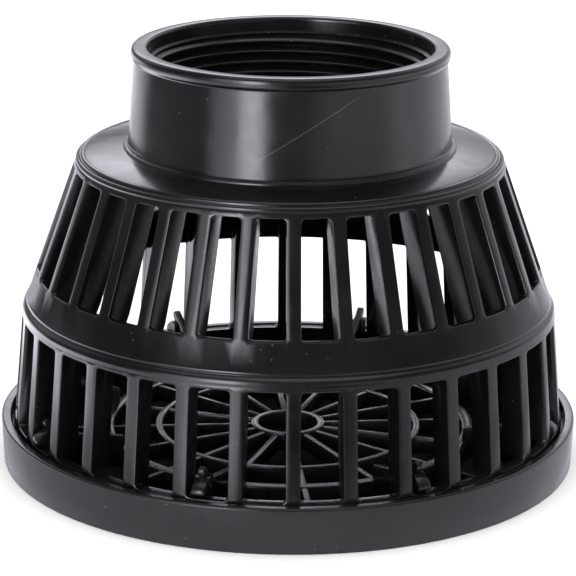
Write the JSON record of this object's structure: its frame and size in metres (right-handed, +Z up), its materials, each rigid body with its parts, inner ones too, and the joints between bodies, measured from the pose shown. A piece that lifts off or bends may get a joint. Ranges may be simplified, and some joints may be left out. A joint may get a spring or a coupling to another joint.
{
  "type": "foot valve",
  "caption": "Plastic foot valve with a female-threaded neck, a conical slotted strainer cage, a clipped-on lattice base and a spring-loaded poppet inside.",
  "frame": {"origin": "centre of the base cover's bottom edge, on the surface it stands on", "axes": "+Z up along the valve's axis, out of the threaded neck"},
  "size_m": [0.125, 0.125, 0.0904],
  "materials": {
    "body_moulding": "glossy moulded black polypropylene with fine scuffs",
    "cover_moulding": "glossy moulded black polypropylene with a few specks",
    "valve_moulding": "satin moulded black polypropylene",
    "rubber_seal": "matt black nitrile rubber",
    "acetal_bush": "natural white acetal, turned",
    "stainless_steel": "plain stainless steel",
    "spring_wire": "drawn stainless spring wire"
  },
  "bodies": {
    "housing": {"strainer_body": "body_moulding", "base_cover": "cover_moulding", "valve_carrier": "valve_moulding", "carrier_gasket": "rubber_seal", "carrier_screw_1": "stainless_steel", "carrier_screw_2": "stainless_steel", "carrier_screw_3": "stainless_steel", "carrier_screw_4": "stainless_steel", "carrier_screw_5": "stainless_steel", "carrier_screw_6": "stainless_steel", "guide_bush": "acetal_bush", "pipe_gasket": "rubber_seal", "return_spring": "spring_wire"},
    "poppet": {"poppet_disc": "valve_moulding", "poppet_seal": "rubber_seal", "seal_clamp_plate": "valve_moulding", "clamp_screw_1": "stainless_steel", "clamp_screw_2": "stainless_steel", "clamp_screw_3": "stainless_steel", "stem_head_seal": "rubber_seal", "stem": "stainless_steel", "spring_washer": "stainless_steel", "stem_lock_nut": "stainless_steel"}
  },
  "joints": [
    {"name": "poppet_lift", "type": "slide", "parent": "housing", "child": "poppet", "axis": [0, 0, 1], "range_m": [0, 0.0065], "stiffness_N_per_m": 250, "springref_m": -0.006, "deforming": ["return_spring"]}
  ]
}
